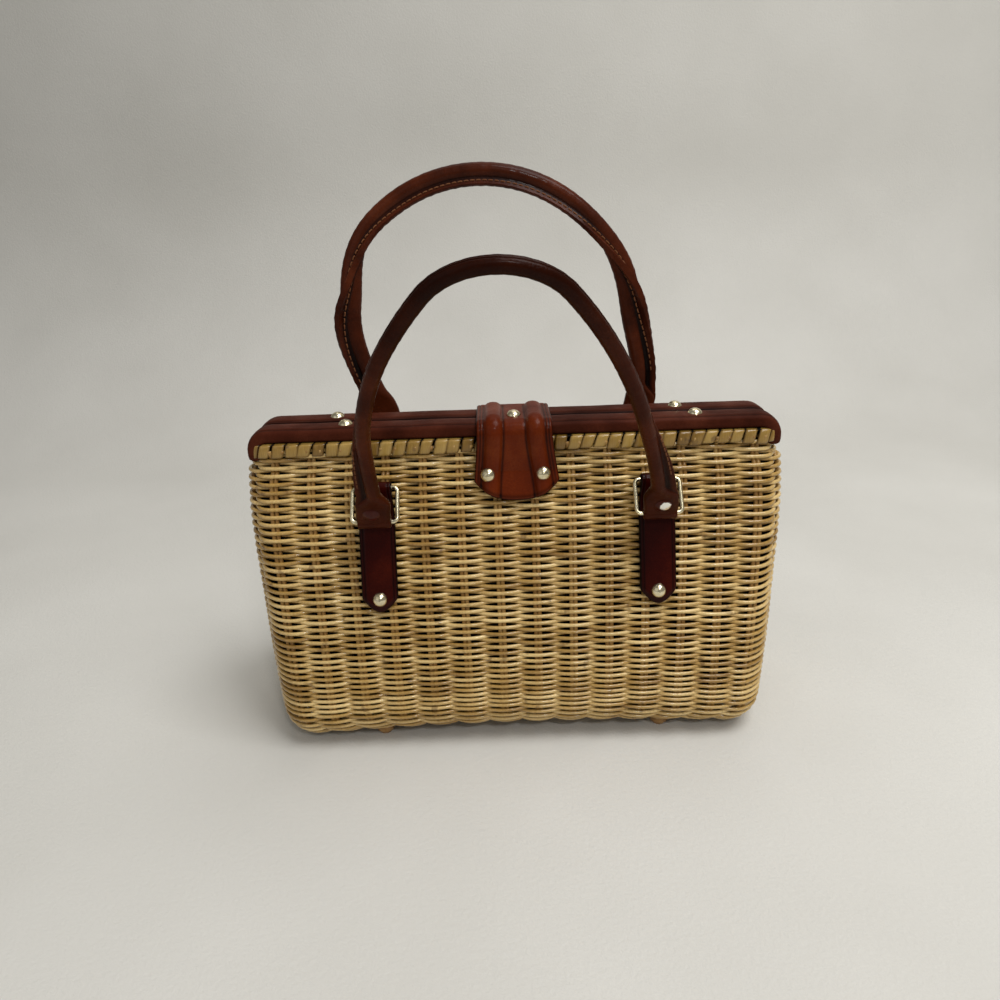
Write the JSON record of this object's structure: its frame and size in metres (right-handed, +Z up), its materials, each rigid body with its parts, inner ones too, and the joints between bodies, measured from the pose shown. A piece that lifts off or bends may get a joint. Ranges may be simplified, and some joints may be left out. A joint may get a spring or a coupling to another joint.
{
  "type": "basket box bag",
  "caption": "Wicker box bag with tapered woven body, leather-covered bars along the mouth, a clasp flap and rolled leather handles on wire rings.",
  "frame": {"origin": "on the ground, under the middle of the base", "axes": "+Z up, +X to the right along the mouth, the clasp faces -Y"},
  "size_m": [0.2796, 0.1663, 0.2938],
  "materials": {
    "reed": "varnished round reed",
    "cane": "varnished flat cane",
    "leather": "polished brown leather",
    "brass": "polished pale brass",
    "cloth": "black woven lining",
    "cap": "dark red lacquer",
    "timber": "turned and varnished",
    "board": "fibre board",
    "steel": "plain strip",
    "cord": "twisted cotton cord"
  },
  "bodies": {
    "basket": {"basket": "reed", "base_board": "board", "lining": "cloth", "feet": "timber", "left_gusset": "cloth", "right_gusset": "cloth", "front_tab_left": "leather", "front_tab_right": "leather", "back_tab_left": "leather", "back_tab_right": "leather", "tab_studs": "brass"},
    "front_half": {"front_band": "reed", "front_binding": "cane", "front_core": "steel", "front_bar": "leather", "front_studs": "brass", "clasp_post": "brass"},
    "back_half": {"back_band": "reed", "back_binding": "cane", "back_core": "steel", "back_bar": "leather", "back_studs": "brass", "clasp_anchor": "leather"},
    "clasp": {"clasp_flap": "leather", "flap_studs": "brass"},
    "front_rings": {"front_ring_left": "brass", "front_ring_right": "brass"},
    "back_rings": {"back_ring_left": "brass", "back_ring_right": "brass"},
    "front_grip": {"front_handle": "leather", "front_cord": "cord", "front_caps": "cap"},
    "back_grip": {"back_handle": "leather", "back_cord": "cord", "back_caps": "cap"}
  },
  "joints": [
    {"name": "clasp_lift", "type": "hinge", "parent": "back_half", "child": "clasp", "pos_m": [0, 0.0012, 0.1727], "axis": [-1, 0, 0], "range_deg": [0, 105]},
    {"name": "front_open", "type": "hinge", "parent": "basket", "child": "front_half", "pos_m": [0, -0.0162, 0.15], "axis": [1, 0, 0], "range_deg": [0, 35]},
    {"name": "back_open", "type": "hinge", "parent": "basket", "child": "back_half", "pos_m": [0, 0.0162, 0.15], "axis": [-1, 0, 0], "range_deg": [0, 35]},
    {"name": "front_ring_swing", "type": "hinge", "parent": "basket", "child": "front_rings", "pos_m": [0, -0.02517, 0.142], "axis": [-1, 0, 0], "range_deg": [0, 20]},
    {"name": "front_handle_fold", "type": "hinge", "parent": "front_rings", "child": "front_grip", "pos_m": [0, -0.03582, 0.12749], "axis": [1, 0, 0], "range_deg": [-10, 95]},
    {"name": "back_ring_swing", "type": "hinge", "parent": "basket", "child": "back_rings", "pos_m": [0, 0.02517, 0.142], "axis": [-1, 0, 0], "range_deg": [0, 30]},
    {"name": "back_handle_fold", "type": "hinge", "parent": "back_rings", "child": "back_grip", "pos_m": [0, 0.03674, 0.15579], "axis": [-1, 0, 0], "range_deg": [0, 65]}
  ],
  "couplings": [
    {"joint": "front_open", "follows": "clasp_lift", "ratio": 0.3333},
    {"joint": "back_open", "follows": "clasp_lift", "ratio": 0.3333}
  ]
}
